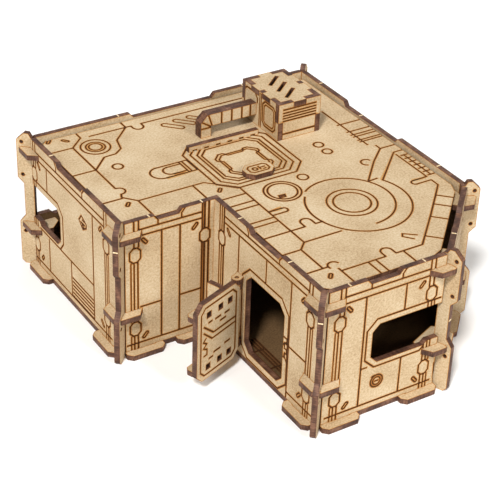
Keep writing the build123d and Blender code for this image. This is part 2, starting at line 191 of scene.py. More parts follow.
def makeBoardFace(name, paintShade):
    # Medium-density fibreboard, hot pressed and sanded: pale tan with short fibre flecks, quite matt.
    # The laser leaves a toasted brown rim beside each cut and each engraved line.
    # Indoors the face is darkened as painted shade, standing for the shadow inside, and it thins out toward
    # the top edge.
    s = sandedBoard
    material, tree, shader, place = newMaterial(name, s["roughness"], s["specular"])
    clouds = addNode(tree, "ShaderNodeTexNoise", {"Scale": 1 / s["cloudSize"], "Detail": 2.0},
                     {"Vector": place})
    flecks = addNode(tree, "ShaderNodeTexNoise",
                     {"Scale": 1 / s["fleckSize"], "Detail": 4.0, "Roughness": 0.7}, {"Vector": place})
    fibres = addNode(tree, "ShaderNodeTexNoise",
                     {"Scale": 1 / s["fibreSize"], "Detail": 2.0, "Distortion": 1.5}, {"Vector": place})
    tone = addNode(tree, "ShaderNodeMix", {"data_type": "FLOAT", 0: s["cloudShare"]},
                   {2: flecks.outputs["Fac"], 3: clouds.outputs["Fac"]})
    tone = addNode(tree, "ShaderNodeMix", {"data_type": "FLOAT", 0: s["fibreShare"]},
                   {2: tone.outputs[0], 3: fibres.outputs["Fac"]})
    plainTone = addNode(tree, "ShaderNodeValToRGB", {"stops": s["tones"]}, {"Fac": tone.outputs[0]})
    base = plainTone.outputs["Color"]
    # painted shade: the indoor faces get darker tones in place of the shadow inside the building
    if paintShade:
        start, end = s["paintedShadeFades"]
        height = addNode(tree, "ShaderNodeSeparateXYZ", {}, {0: place})
        thin = addNode(tree, "ShaderNodeMapRange", {1: start, 2: end}, {0: height.outputs["Y"]})
        shadeTone = addNode(tree, "ShaderNodeValToRGB", {"stops": s["paintedShade"]}, {"Fac": tone.outputs[0]})
        withPaintedShade = addNode(tree, "ShaderNodeMix", {"data_type": "RGBA"},
                          {0: thin.outputs[0], 6: shadeTone.outputs["Color"], 7: base})
        base = withPaintedShade.outputs[2]
    scorch = addNode(tree, "ShaderNodeAttribute", {"attribute_name": "scorch"})
    uneven = addNode(tree, "ShaderNodeMath",
                     {"operation": "MULTIPLY_ADD", 1: s["rimCloudy"], 2: s["rimEven"]},
                     {0: clouds.outputs["Fac"]})
    burnt = addNode(tree, "ShaderNodeMath", {"operation": "MULTIPLY", "use_clamp": True},
                    {0: scorch.outputs["Fac"], 1: uneven.outputs[0]})
    rim = addNode(tree, "ShaderNodeValToRGB", {"stops": s["rim"]}, {"Fac": burnt.outputs[0]})
    colour = addNode(tree, "ShaderNodeMix", {"data_type": "RGBA", "blend_type": "MULTIPLY", 0: 1.0},
                     {6: base, 7: rim.outputs["Color"]})
    bump = addNode(tree, "ShaderNodeBump", {"Distance": s["bumpDepth"] * mm, "Strength": s["bumpStrength"]},
                   {"Height": flecks.outputs["Fac"]})
    tree.links.new(colour.outputs[2], shader.inputs["Base Color"])
    tree.links.new(bump.outputs["Normal"], shader.inputs["Normal"])
    return material


burntEdge = {
    "roughness": 0.62, "specular": 0.35,
    "tones": [(0.3, "#27150d"), (0.5, "#553627"), (0.7, "#8a624a")],
    "streakSize": 0.45, "streakLong": 0.22,      # mm across, and cycles per mm through the board
    "patches": (0.14, 0.3, 1.0), "patchShare": 0.5,
    "bumpDepth": 0.08, "bumpStrength": 0.5,
}


def makeBurntEdge():
    # The same board, laser cut: the edge is charred to a dark purple brown, with fine streaks through
    # the thickness and broad paler patches along it.
    s = burntEdge
    material, tree, shader, place = newMaterial("fibreboardLaserCutEdge", s["roughness"], s["specular"])
    stretched = addNode(tree, "ShaderNodeMapping", {"Scale": (1 / s["streakSize"], s["streakLong"], 1.0)},
                        {"Vector": place})
    streaks = addNode(tree, "ShaderNodeTexNoise", {"Scale": 1.0, "Detail": 3.0, "Roughness": 0.6},
                      {"Vector": stretched.outputs["Vector"]})
    broad = addNode(tree, "ShaderNodeMapping", {"Scale": s["patches"]}, {"Vector": place})
    patches = addNode(tree, "ShaderNodeTexNoise", {"Scale": 1.0, "Detail": 1.0},
                      {"Vector": broad.outputs["Vector"]})
    tone = addNode(tree, "ShaderNodeMix", {"data_type": "FLOAT", 0: s["patchShare"]},
                   {2: streaks.outputs["Fac"], 3: patches.outputs["Fac"]})
    colour = addNode(tree, "ShaderNodeValToRGB", {"stops": s["tones"]}, {"Fac": tone.outputs[0]})
    bump = addNode(tree, "ShaderNodeBump", {"Distance": s["bumpDepth"] * mm, "Strength": s["bumpStrength"]},
                   {"Height": streaks.outputs["Fac"]})
    tree.links.new(colour.outputs["Color"], shader.inputs["Base Color"])
    tree.links.new(bump.outputs["Normal"], shader.inputs["Normal"])
    return material


engravedLine = {
    "roughness": 0.85, "specular": 0.15, "tones": [(0.35, "#2b1a0b"), (0.65, "#5c3f22")],
    "grainSize": 0.6, "detail": 3.0, "bumpDepth": 0.05, "bumpStrength": 0.5,
}
brokenTab = {
    "roughness": 0.9, "specular": 0.15, "tones": [(0.35, "#cfae7c"), (0.6, "#ecd8b4")],
    "grainSize": 0.4, "detail": 2.0, "bumpDepth": 0.1, "bumpStrength": 0.6,
}


def makeGrainyBoard(name, s):
    # Board seen inside its thickness, with one even grain.
    material, tree, shader, place = newMaterial(name, s["roughness"], s["specular"])
    grain = addNode(tree, "ShaderNodeTexNoise", {"Scale": 1 / s["grainSize"], "Detail": s["detail"]},
                    {"Vector": place})
    colour = addNode(tree, "ShaderNodeValToRGB", {"stops": s["tones"]}, {"Fac": grain.outputs["Fac"]})
    bump = addNode(tree, "ShaderNodeBump", {"Distance": s["bumpDepth"] * mm, "Strength": s["bumpStrength"]},
                   {"Height": grain.outputs["Fac"]})
    tree.links.new(colour.outputs["Color"], shader.inputs["Base Color"])
    tree.links.new(bump.outputs["Normal"], shader.inputs["Normal"])
    return material


bareDowel = {
    "roughness": 0.6, "specular": 0.3, "tones": [(0.35, "#9a6d43"), (0.65, "#c79a68")],
    "grainWide": 0.3, "grainLong": 6, "bumpDepth": 0.03, "bumpStrength": 0.4,
}


def makeDowelWood():
    # Thin hardwood dowel, turned and left bare: straight grain along its length, honey brown.
    s = bareDowel
    material, tree, shader, _ = newMaterial("beechDowelTurned", s["roughness"], s["specular"])
    spot = addNode(tree, "ShaderNodeTexCoord")
    across, long = 1 / (s["grainWide"] * mm), 1 / (s["grainLong"] * mm)
    along = addNode(tree, "ShaderNodeMapping", {"Scale": (across, across, long)},
                    {"Vector": spot.outputs["Object"]})
    grain = addNode(tree, "ShaderNodeTexNoise", {"Scale": 1.0, "Detail": 2.0},
                    {"Vector": along.outputs["Vector"]})
    colour = addNode(tree, "ShaderNodeValToRGB", {"stops": s["tones"]}, {"Fac": grain.outputs["Fac"]})
    bump = addNode(tree, "ShaderNodeBump", {"Distance": s["bumpDepth"] * mm, "Strength": s["bumpStrength"]},
                   {"Height": grain.outputs["Fac"]})
    tree.links.new(colour.outputs["Color"], shader.inputs["Base Color"])
    tree.links.new(bump.outputs["Normal"], shader.inputs["Normal"])
    return material


boardMaterials = [
    makeBoardFace("fibreboardSandedFace", paintShade=False),
    makeBurntEdge(),
    makeGrainyBoard("fibreboardLaserEngraved", engravedLine),      # toasted brown floor of a groove, matt
    makeGrainyBoard("fibreboardSnappedTab", brokenTab),            # raw torn fibres, paler than the face
    # a darkened copy of the face: painted shade for the dark interior
    makeBoardFace("fibreboardPaintedShadeFace", paintShade=True),
]
faceSlot, edgeSlot, grooveSlot, tabSlot, paintedShadeSlot = range(len(boardMaterials))
dowelMaterial = makeDowelWood()
print("materials made")


# A stroke is drawn in a plate's own millimetres.
def line(*points, width=0.5):
    return {"points": list(points), "closed": False, "width": width}


def loop(*points, width=0.5):
    return {"points": list(points), "closed": True, "width": width}


def arcPoints(cx, cy, radius, start, end, steps=24):
    turn = [math.radians(start + (end - start) * k / steps) for k in range(steps + 1)]
    return [(cx + radius * math.cos(a), cy + radius * math.sin(a)) for a in turn]


def ring(cx, cy, radius, width=0.5):
    return loop(*arcPoints(cx, cy, radius, 0, 360, 40)[:-1], width=width)


def cutBox(cx, cy, wide, high, cut):
    x, y = wide / 2, high / 2
    return [(cx - x + cut, cy - y), (cx + x - cut, cy - y), (cx + x, cy - y + cut), (cx + x, cy + y - cut),
            (cx + x - cut, cy + y), (cx - x + cut, cy + y), (cx - x, cy + y - cut), (cx - x, cy - y + cut)]


def pillPoints(cx, cy, long, wide, angle):
    reach, r = long / 2 - wide / 2, wide / 2
    shape = arcPoints(reach, 0, r, -90, 90, 6) + arcPoints(-reach, 0, r, 90, 270, 6)
    c, s = math.cos(math.radians(angle)), math.sin(math.radians(angle))
    return [(cx + x * c - y * s, cy + x * s + y * c) for x, y in shape]


def shifted(strokes, du, dv):
    return [dict(s, points=[(x + du, y + dv) for x, y in s["points"]]) for s in strokes]


def mirrored(strokes, wide):
    return [dict(s, points=[(wide - x, y) for x, y in s["points"]]) for s in strokes]


def ribbon(stroke, spread=0.0):
    # the stroke as mitred quads, wider by spread on each side; sharp mitres are cut short
    points = [Vector(p) for p in stroke["points"]]
    closed = stroke["closed"]
    half = stroke["width"] / 2 + spread
    count = len(points)
    sides = []
    for k, point in enumerate(points):
        before = points[k - 1] if closed or k else None
        after = points[(k + 1) % count] if closed or k < count - 1 else None
        into = (point - before).normalized() if before is not None else (after - point).normalized()
        out = (after - point).normalized() if after is not None else into
        middle = (into + out).normalized() if (into + out).length > 1e-6 else into
        normal = Vector((-middle.y, middle.x))
        stretch = min(1 / max(normal.dot(Vector((-into.y, into.x))), 0.3), 2.5)
        end = Vector((0, 0))
        if not closed and k == 0:
            end = -into * spread
        if not closed and k == count - 1:
            end = into * spread
        sides.append((point + end + normal * half * stretch, point + end - normal * half * stretch))
    quads = []
    for k in range(count if closed else count - 1):
        (l0, r0), (l1, r1) = sides[k], sides[(k + 1) % count]
        quads.append([r0, r1, l1, l0])
    return quads


def grow(points, spread):
    # a closed shape, counter-clockwise, grown outwards
    points = [Vector(p) for p in points]
    out = []
    for k, point in enumerate(points):
        into = (point - points[k - 1]).normalized()
        away = (points[(k + 1) % len(points)] - point).normalized()
        normal = Vector((into.y + away.y, -into.x - away.x)).normalized()
        stretch = min(1 / max(normal.dot(Vector((into.y, -into.x))), 0.35), 2.0)
        out.append(point + normal * spread * stretch)
    return out


def segmentDistance(at, starts, ends):
    # shortest distance from each point to any of the segments
    best = np.full(len(at), 1e9)
    for a, b in zip(starts, ends):
        d = b - a
        t = np.clip(((at - a) @ d) / max(d @ d, 1e-12), 0, 1)
        best = np.minimum(best, np.hypot(*(at - a - t[:, None] * d).T))
    return best


plateLook = {               # mm
    "grooveDepth": 0.35,
    "rimWidth": 0.65,       # toasted rim beside a groove
    "edgeRim": 0.45,        # and beside the plate's edge, where it is paler
    "edgeScorch": 0.75,
    "tabLong": 0.7, "tabProud": 0.22, "tabSunk": 0.15,      # stubs of the tabs that held the plate
    "tabBack": 0.25, "tabBevel": 0.55,                      # from the faces to the stub's foot and to its top
}


def tidyLoop(chain):
    # the points of a closed outline where it turns
    kept = []
    for k, point in enumerate(chain):
        before, here, after = Vector(chain[k - 1]), Vector(point), Vector(chain[(k + 1) % len(chain)])
        if abs((here - before).normalized().cross((after - here).normalized())) > 1e-4:
            kept.append(point)
    return kept


def wideNormal(mesh, facing):
    # the direction of the plate's broad face that looks most towards facing
    totals = {}
    for polygon in mesh.polygons:
        key = tuple(round(float(c), 3) + 0.0 for c in polygon.normal)
        totals[key] = totals.get(key, 0.0) + polygon.area
    broad = 0.6 * max(totals.values())
    wide = [Vector(key) for key, area in totals.items() if area > broad]
    return max(wide, key=lambda n: n.dot(Vector(facing))).normalized()


def faceLoops(mesh, local, normal):
    # outlines of all faces that share the normal: each edge that no other such face uses backwards
    edges = {}
    for polygon in mesh.polygons:
        if polygon.normal.dot(normal) < 0.99:
            continue
        ids = [tuple(round(c, 4) for c in local[v]) for v in polygon.vertices]
        for a, b in zip(ids, ids[1:] + ids[:1]):
            if (b, a) in edges:
                del edges[(b, a)]
            else:
                edges[(a, b)] = True
    step = dict(edges.keys())
    loops = []
    while step:
        here = min(step)
        chain = []
        while here in step:
            chain.append((here[0], here[1]))
            here = step.pop(here)
        loops.append(tidyLoop(chain))
    return loops


def readPlate(node, facing):
    # a CAD plate's outline in its own millimetres: u across, v up (or back), w out of the engraved face
    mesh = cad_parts[node].data
    normal = wideNormal(mesh, facing)
    up = Vector((0, 1, 0)) if abs(normal.z) > 0.9 else Vector((0, 0, 1))
    axes = Matrix((up.cross(normal).normalized(), up, normal))
    local = [axes @ v.co / mm for v in mesh.vertices]
    face = max(p.z for p in local)
    loops = faceLoops(mesh, local, normal)
    points = [p for chain in loops for p in chain]
    return SimpleNamespace(axes=axes, face=face, thick=face - min(p.z for p in local), loops=loops,
                           low=(min(p[0] for p in points), min(p[1] for p in points)))


def nearestEdge(plate, u, v):
    # the nearest point of the outline to u, v, and the way the outline runs there
    at = Vector((u, v))
    best = None
    for chain in plate.loops:
        for a, b in zip(chain, chain[1:] + chain[:1]):
            start, along = Vector(a), Vector(b) - Vector(a)
            share = max(0.0, min(1.0, (at - start).dot(along) / along.length_squared))
            gap = (start + along * share - at).length
            if best is None or gap < best[0]:
                best = (gap, start + along * share, along.normalized())
    return best[1], best[2]


def within(at, shape):
    # which points lie in a closed shape
    odd = np.zeros(len(at), bool)
    for a, b in zip(shape, np.roll(shape, -1, axis=0)):
        if a[1] == b[1]:
            continue
        spans = (a[1] > at[:, 1]) != (b[1] > at[:, 1])
        odd ^= spans & (at[:, 0] < (b[0] - a[0]) * (at[:, 1] - a[1]) / (b[1] - a[1]) + a[0])
    return odd


def cutPlate(plate, front, back, withPaintedShade):
    # one triangulation for both faces, so the mesh is closed; it also follows the rims, where scorch fades
    points, faces, kinds = [], [], []

    def addFace(shape, kind):
        faces.append(list(range(len(points), len(points) + len(shape))))
        points.extend(Vector(p) for p in shape)
        kinds.append(kind)

    for chain in plate.loops:
        outer = sum(a[0] * b[1] - b[0] * a[1] for a, b in zip(chain, chain[1:] + chain[:1])) > 0
        rim = grow(chain, -plateLook["edgeRim"])
        addFace(chain if outer else chain[::-1], "plate" if outer else "hole")
        addFace(rim if outer else rim[::-1], "rim")
    for strokes, kind in ((front, "front"), (back, "back")):
        for stroke in strokes:
            for quad in ribbon(stroke):
                addFace(quad, kind)
            for quad in ribbon(stroke, plateLook["rimWidth"]):
                addFace(quad, "rim")
    # the area that takes the painted shade
    if withPaintedShade:
        addFace(withPaintedShade, "withPaintedShade")
    at, _, triangles, _, _, _ = delaunay_2d_cdt(points, [], faces, 0, 1e-4)
    at = np.array([tuple(p) for p in at])
    corners = np.array(triangles)
    middles = at[corners].mean(axis=1)
    inside = {kind: np.zeros(len(corners), bool) for kind in ("plate", "hole", "front", "back", "withPaintedShade")}
    for face, kind in zip(faces, kinds):
        if kind != "rim":
            inside[kind] |= within(middles, np.array([tuple(points[k]) for k in face]))
    kept = inside["plate"] & ~inside["hole"]
    marks = np.stack([inside["front"], inside["back"], inside["withPaintedShade"]], axis=1)
    return at, [(list(triangles[k]), *(bool(m) for m in marks[k])) for k in np.flatnonzero(kept)]


def scorchAt(at, plate, strokes):
    # 1 in and beside a groove and a little less at a cut, fading to 0 at the rim's far side
    starts = [np.array(a, float) for chain in plate.loops for a in chain]
    ends = [np.array(b, float) for chain in plate.loops for b in chain[1:] + chain[:1]]
    near = segmentDistance(at, starts, ends)
    value = plateLook["edgeScorch"] * np.clip(1 - near / plateLook["edgeRim"], 0, 1)
    for stroke in strokes:
        points = [np.array(p, float) for p in stroke["points"]]
        pairs = list(zip(points, points[1:] + points[:1]))
        if not stroke["closed"]:
            pairs = pairs[:-1]
        near = segmentDistance(at, [a for a, b in pairs], [b for a, b in pairs]) - stroke["width"] / 2
        value = np.maximum(value, np.clip(1 - near / plateLook["rimWidth"], 0, 1))
    return value


def addTab(verts, polygons, plate, u, v):
    # a snapped holding tab: a low bevelled block across the cut edge
    spot, along = nearestEdge(plate, u, v)
    out = Vector((along.y, -along.x))
    half, proud, sunk = plateLook["tabLong"] / 2, plateLook["tabProud"], plateLook["tabSunk"]
    back, bevel = plateLook["tabBack"], plateLook["tabBevel"]
    first = len(verts)
    for gap, wide, reach in ((back, half, -sunk), (back, half, proud * 0.4), (bevel, half * 0.6, proud)):
        for w in (-gap, -plate.thick + gap):
            for side in (-1, 1):
                p = spot + along * side * wide + out * reach
                verts.append((p.x, p.y, w))
    foot, waist, top = ([first + level + k for k in (0, 1, 3, 2)] for level in (0, 4, 8))
    for lower, upper in ((foot, waist), (waist, top)):
        for k in range(4):
            n = (k + 1) % 4
            polygons.append(([lower[k], lower[n], upper[n], upper[k]], tabSlot))
    polygons.append((top, tabSlot))
    polygons.append(([foot[k] for k in (0, 3, 2, 1)], tabSlot))


def buildPlate(plate, at, triangles, backSlot):
    # both faces at their levels, the grooves' sides and the cut edge;
    # ids gives a point's number from its place and level
    deep = plateLook["grooveDepth"]
    frontLevel = {True: -deep, False: 0.0}
    backLevel = {True: -plate.thick + deep, False: -plate.thick}
    verts, ids, levels = [], {}, {}

    def corner(k, w):
        if (k, w) not in ids:
            ids[(k, w)] = len(verts)
            verts.append((at[k][0], at[k][1], w))
            levels.setdefault(k, set()).add(w)
        return ids[(k, w)]

    def column(k, start, end):
        between = sorted(w for w in levels[k] if min(start, end) < w < max(start, end))
        return [corner(k, w) for w in [start] + (between if end > start else between[::-1]) + [end]]

    polygons, owner = [], {}
    for triangle, cutFront, cutBack, paintedShade in triangles:
        # triangles in the painted-shade area take the darkened face material
        plain = paintedShadeSlot if paintedShade else faceSlot
        top = [corner(k, frontLevel[cutFront]) for k in triangle]
        under = [corner(k, backLevel[cutBack]) for k in triangle[::-1]]
        polygons.append((top, grooveSlot if cutFront else plain))
        polygons.append((under, grooveSlot if cutBack else backSlot))
        for a, b in zip(triangle, triangle[1:] + triangle[:1]):
            owner[(a, b)] = (cutFront, cutBack)
    for (a, b), (cutFront, cutBack) in owner.items():
        other = owner.get((b, a))
        if other is None:
            high, low = frontLevel[cutFront], backLevel[cutBack]
            polygons.append((column(a, high, low) + column(b, low, high), edgeSlot))
            continue
        if cutFront and not other[0]:
            side = [corner(b, -deep), corner(a, -deep), corner(a, 0.0), corner(b, 0.0)]
            polygons.append((side, grooveSlot))
        if cutBack and not other[1]:
            low, high = backLevel[False], backLevel[True]
            side = [corner(a, high), corner(b, high), corner(b, low), corner(a, low)]
            polygons.append((side, grooveSlot))
    return verts, polygons, ids


def boardPlaces(node, verts, polygons):
    # where each corner lies in the board: flat on a face, and unrolled along a cut edge
    # each plate comes from its own part of the sheet, by its name
    seed = sum(ord(c) * (k + 1) for k, c in enumerate(node)) % 97 * 13.0
    places = []
    for polygon, slotNumber in polygons:
        if slotNumber == edgeSlot:
            a, b = verts[polygon[0]], verts[polygon[-1]]
            d = Vector((b[0] - a[0], b[1] - a[1])).normalized()
            for u, v, w in (verts[i] for i in polygon):
                places.append((u * d.x + v * d.y + seed, w, 7.0 + d.x * 3))    # each side has its own streaks
        else:
            places += [(verts[i][0] + seed, verts[i][1], verts[i][2]) for i in polygon]
    return places


def makePlate(node, body, facing, front=(), back=(), tabs=(), backSlot=faceSlot, withPaintedShade=None):
    plate = readPlate(node, facing)
    at, triangles = cutPlate(plate, front, back, withPaintedShade)
    verts, polygons, ids = buildPlate(plate, at, triangles, backSlot)
    scorchFront, scorchBack = scorchAt(at, plate, front), scorchAt(at, plate, back)
    scorch = [float(scorchFront[k] if w > -plate.thick / 2 else scorchBack[k]) for k, w in ids]
    for u, v in tabs:
        addTab(verts, polygons, plate, u + plate.low[0], v + plate.low[1])
    scorch += [0.0] * (len(verts) - len(scorch))

    mesh = bpy.data.meshes.new(node)
    toFrame = plate.axes.transposed()
    spots = [toFrame @ Vector((u, v, w + plate.face)) * mm for u, v, w in verts]
    mesh.from_pydata(spots, [], [polygon for polygon, slotNumber in polygons])
    for material in boardMaterials:
        mesh.materials.append(material)
    mesh.polygons.foreach_set("material_index", [slotNumber for polygon, slotNumber in polygons])
    mesh.attributes.new("scorch", "FLOAT", "POINT").data.foreach_set("value", scorch)
    attribute = mesh.attributes.new("boardPlace", "FLOAT_VECTOR", "CORNER")
    places = boardPlaces(node, verts, polygons)
    attribute.data.foreach_set("vector", [c for place in places for c in place])
    mesh.validate()
    mesh.update()
    piece = bpy.data.objects.new("board_" + node, mesh)
    scene.collection.objects.link(piece)
    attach(piece, body)
    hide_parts(node)


roomCentre = Vector((0.026, 0.049, 0.0))    # m, every wall can be seen from here
conduit = {                                 # mm, the twin pipe that runs up beside a corner
    "foot": 3.2, "top": 80.0,
    "clampLow": 15.8, "clampHigh": 60.2, "clampHalf": 4.4,      # centres, and where the pipes stop
    "clampWide": 6.2, "clampTall": 8.4, "clampCut": 1.9,
    "pipes": ((-2.4, 0.3), (-0.6, 0.4), (1.5, 0.45)),     # place across and line width
    "upperPipes": (-0.6, 2.0),
}
trim = {"shoulder": 80.2, "shoulderBend": 77.6, "shoulderLean": 2.2, "baseReach": 7.0,    # mm
        "dashLong": 4.2, "dashWide": 1.5, "slats": 6}


def awayFromRoom(node):
    low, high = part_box(node)
    out = (low + high) / 2 - roomCentre
    return (out.x, out.y, 0)


def conduitLines(u, side):
    # side is 1 where the wall's middle lies to the right
    c = conduit
    half, foot, top, low, high = c["clampHalf"], c["foot"], c["top"], c["clampLow"], c["clampHigh"]
    clamp = (c["clampWide"], c["clampTall"], c["clampCut"])
    strokes = [loop(*cutBox(u, centre, *clamp)) for centre in (low, high)]
    for offset, width in c["pipes"]:
        strokes.append(line((u + offset * side, low + half), (u + offset * side, high - half), width=width))
        strokes.append(line((u + offset * side, foot), (u + offset * side, low - half), width=width))
    for offset in c["upperPipes"]:
        strokes.append(line((u + offset * side, high + half), (u + offset * side, top), width=0.45))
    return strokes


def halfConduit(clamp, pipes, foot):
    # a conduit with one clamp, beside an inside corner; clamp is its centre, width, height and cut corner
    u, z, wide, high, cut = clamp
    strokes = [loop(*cutBox(u, z, wide, high, cut))]
    reach = round(high / 2, 3)
    for at, width in pipes:
        strokes += [line((at, round(z - reach, 3)), (at, foot), width=width),
                    line((at, conduit["top"]), (at, round(z + reach, 3)), width=width)]
    return strokes


def dashes(*spots):
    # short slots across the corners of panels: u, z and angle of each
    long, wide = trim["dashLong"], trim["dashWide"]
    return [loop(*pillPoints(u, z, long, wide, angle), width=0.55) for u, z, angle in spots]


def frieze(start, end, steps, top=74.8, bottom=71.0, base=6.2):
    # two lines below the shoulders, one above the floor, and the shoulders' slanted ends
    strokes = [line((start, top), (end, top)), line((start, bottom), (end, bottom))]
    if base:
        strokes.append(line((start - trim["baseReach"], base), (end + trim["baseReach"], base)))
    for u, lean in steps:
        strokes.append(line((u - lean * trim["shoulderLean"], trim["shoulder"]), (u, trim["shoulderBend"]),
                            (u, top), width=0.4))
    return strokes


def emblem(u, z, radius):
    # a ring in a ring with a bar and a tick
    return [ring(u, z, radius, 0.6), ring(u, z, radius * 0.62, 0.5),
            line((u - radius * 0.3, z), (u + radius * 0.3, z), width=0.5),
            line((u - radius * 0.9, z + radius * 0.9), (u - radius * 0.4, z + radius * 1.05), width=0.45)]


def slats(left, right, top, pitch):
    return [line((left, top - pitch * k), (right, top - pitch * k), width=0.55) for k in range(trim["slats"])]


def greeblePatch(u, z, wide=8.4, high=7.6):
    # a small cluster of machinery: a framed box with bars and a bolt
    x, y = wide / 2, high / 2
    return [loop((u - x, z), (u - x * 0.3, z + y), (u + x, z + y * 0.3), (u + x, z - y * 0.3), (u, z - y)),
            line((u - x * 0.5, z - y * 0.1), (u + x * 0.6, z - y * 0.1), width=0.55),
            line((u - x * 0.1, z + y * 0.45), (u + x * 0.5, z + y * 0.4), width=0.55),
            ring(u + x * 0.1, z - y * 0.5, 0.9, 0.5)]


def plainWall(length, steps, seams, windowEdge=()):
    # a wall between two outer corners; seams are upright lines: u, lower and upper end
    strokes = frieze(11.4, length - 11.4, steps)
    strokes += conduitLines(9.6, 1) + conduitLines(length - 9.6, -1)
    strokes += [line((u, high), (u, low)) for u, low, high in seams]
    if windowEdge:
        strokes.append(line(*windowEdge))
    near, far = 15.6, length - 15.6
    return strokes + dashes((near, 67.0, -50), (far, 67.0, 50), (near, 10.0, 50), (far, 10.0, -50))


# Each wall in its plate's millimetres. inset is how far the drawing starts from the plate's left edge,
# tabs are the places of its snapped tabs, and drawing is everything engraved on its outer face.
leftWall = {
    "inset": 3.0, "tabs": [(22, 78), (96, 78)],
    "drawing": [
        *frieze(8.4, 87.6, [(33.4, 1), (63.6, -1)], 74.4, 70.6, 6.2),
        *conduitLines(6.2, 1), *conduitLines(89.6, -1),
        line((21.4, 70.6), (21.4, 56.0)), line((21.6, 27.0), (21.6, 6.2)), line((48.6, 28.2), (48.6, 6.2)),
        line((74.8, 70.6), (74.8, 6.2), width=0.55),
        line((3.4, 56.0), (34.0, 56.0), (39.6, 50.6), (39.6, 33.6), (35.6, 28.4), (11.0, 28.4)),
        line((36.0, 28.2), (74.8, 28.2), width=0.45),
        *slats(49.6, 74.2, 18.4, 2.3), *greeblePatch(63.6, 60.0),
        *dashes((12.0, 67.6, -50), (12.6, 10.2, 50), (84.4, 10.2, -50), (83.4, 67.2, 50)),
    ],
}
frontLeftWall = {
    "inset": 3.0, "tabs": [(14, 78), (44, 78)],
    "drawing": [
        *frieze(10.6, 46.8, [(21.6, 1), (35.0, -1)], 74.6, 71.0, 6.6), *conduitLines(8.7, 1),
        *halfConduit((48.6, 60.4, 6.0, 8.0, 1.8), ((47.0, 0.5), (48.4, 0.8), (50.8, 0.7)), 6.6),
        line((23.7, 71.0), (23.7, 6.6), width=0.55), line((34.2, 71.0), (34.2, 6.6), width=0.55),
        line((11.6, 28.6), (23.7, 28.6)), line((34.2, 28.6), (47.0, 28.6)),
        *dashes((14.0, 67.4, -50), (42.8, 67.4, 50), (14.4, 10.4, 50), (42.8, 10.4, -50)),
    ],
}
doorWall = {
    "inset": -3.0, "tabs": [(25, 78), (70, 78)],
    "drawing": [
        *frieze(10.0, 86.2, [(32.4, 1), (60.2, -1)], 75.2, 71.6, None),
        line((71.4, 6.8), (95.0, 6.8)), line((1.0, 6.8), (24.0, 6.8)), *conduitLines(88.2, -1),
        *halfConduit((7.8, 61.2, 6.0, 8.4, 1.9), ((5.6, 0.4), (7.6, 0.4), (9.6, 0.9)), 6.8),
        line((24.0, 71.6), (24.0, 6.8)), line((49.4, 71.6), (49.4, 57.8)),
        line((71.6, 71.6), (71.6, 3.4), width=0.55), line((71.6, 34.4), (86.0, 34.4)),
        loop(*cutBox(49.5, 30.8, 42.4, 54.0, 6.6)),      # frame round the doorway
        line((67.2, 25.6), (68.6, 25.6), (68.6, 28.6), (70.2, 28.6), (70.2, 31.2), (68.2, 31.2), (68.2, 34.4),
             (70.2, 34.4), (70.2, 37.6), (67.4, 37.6)),
        line((68.0, 27.0), (70.4, 24.0)), line((67.2, 33.0), (70.6, 36.0), width=0.45),
        *dashes((14.2, 68.0, -50), (82.4, 12.0, 50), (82.0, 67.6, 50), (14.2, 11.6, 50)),
    ],
}
frontWall = {
    "inset": 3.0, "tabs": [(12, 78), (55, 78)],
    "drawing": [
        *frieze(12.0, 61.6, [(27.0, 1), (45.0, -1)]), *conduitLines(10.2, 1), *conduitLines(63.8, -1),
        line((24.6, 71.0), (24.6, 6.2), width=0.55), line((48.0, 71.0), (48.0, 56.0)),
        line((48.8, 27.4), (48.8, 6.2)), line((24.6, 28.6), (28.2, 28.6), width=0.4),
        line((70.0, 55.8), (32.2, 55.8), (26.6, 50.2), (26.6, 33.0), (32.4, 27.4), (60.0, 27.4),
             (62.0, 29.4)),
        line((70.6, 16.0), (70.9, 6.2), width=0.4),
        *dashes((15.2, 67.0, -50), (57.6, 67.2, 50), (16.8, 9.8, 50), (58.8, 10.0, -50)),
        *emblem(34.9, 18.2, 3.6),
    ],
}
cutCornerWall = {
    "inset": 3.0, "tabs": [(15, 78)],
    "drawing": [
        *plainWall(67.88, [(26.0, 1), (41.8, -1)], [(44.6, 6.2, 71.0), (24.0, 6.2, 27.4), (22.0, 55.8, 71.0)],
                   [(3.4, 55.8), (33.6, 55.8), (39.4, 50.2), (39.4, 33.0), (33.4, 27.4), (11.0, 27.4)]),
        *emblem(34.4, 17.0, 3.6),
    ],
}
rightWall = {
    "inset": 3.0, "tabs": [(20, 78), (90, 78), (130, 78)],
    "drawing": [
        *plainWall(154.0, [(59.0, 1), (106.0, -1)],
                   [(30.0, 6.2, 71.0), (56.0, 6.2, 71.0), (97.0, 6.2, 71.0), (124.0, 6.2, 71.0)]),
        line((30.0, 28.4), (56.0, 28.4)), line((97.0, 28.4), (124.0, 28.4)), line((56.0, 40.0), (97.0, 40.0)),
        *slats(63.0, 90.0, 32.0, 2.8), loop(*cutBox(76.5, 25.0, 33.0, 22.0, 4.0)),
        *emblem(76.5, 56.0, 5.0), *greeblePatch(110.5, 58.0),
    ],
}
backWall = {
    "inset": 3.0, "tabs": [(40, 78), (120, 78)],
    "drawing": [
        *plainWall(176.0, [(64.0, 1), (114.0, -1)],
                   [(32.0, 6.2, 71.0), (58.0, 6.2, 71.0), (92.0, 6.2, 71.0), (124.0, 6.2, 71.0),
                    (152.0, 55.8, 71.0), (150.0, 6.2, 27.4)],
                   [(172.6, 55.8), (136.6, 55.8), (131.0, 50.2), (131.0, 33.0), (136.8, 27.4),
                    (165.0, 27.4)]),
        line((32.0, 34.4), (58.0, 34.4)), line((92.0, 28.4), (124.0, 28.4)),
        *slats(93.0, 123.2, 24.0, 2.6), *greeblePatch(75.0, 55.0), *emblem(45.0, 18.0, 4.0),
    ],
}
walls = {"left": leftWall, "front_left": frontLeftWall, "door": doorWall, "front": frontWall,
         "cut_corner": cutCornerWall, "right": rightWall, "back": backWall}


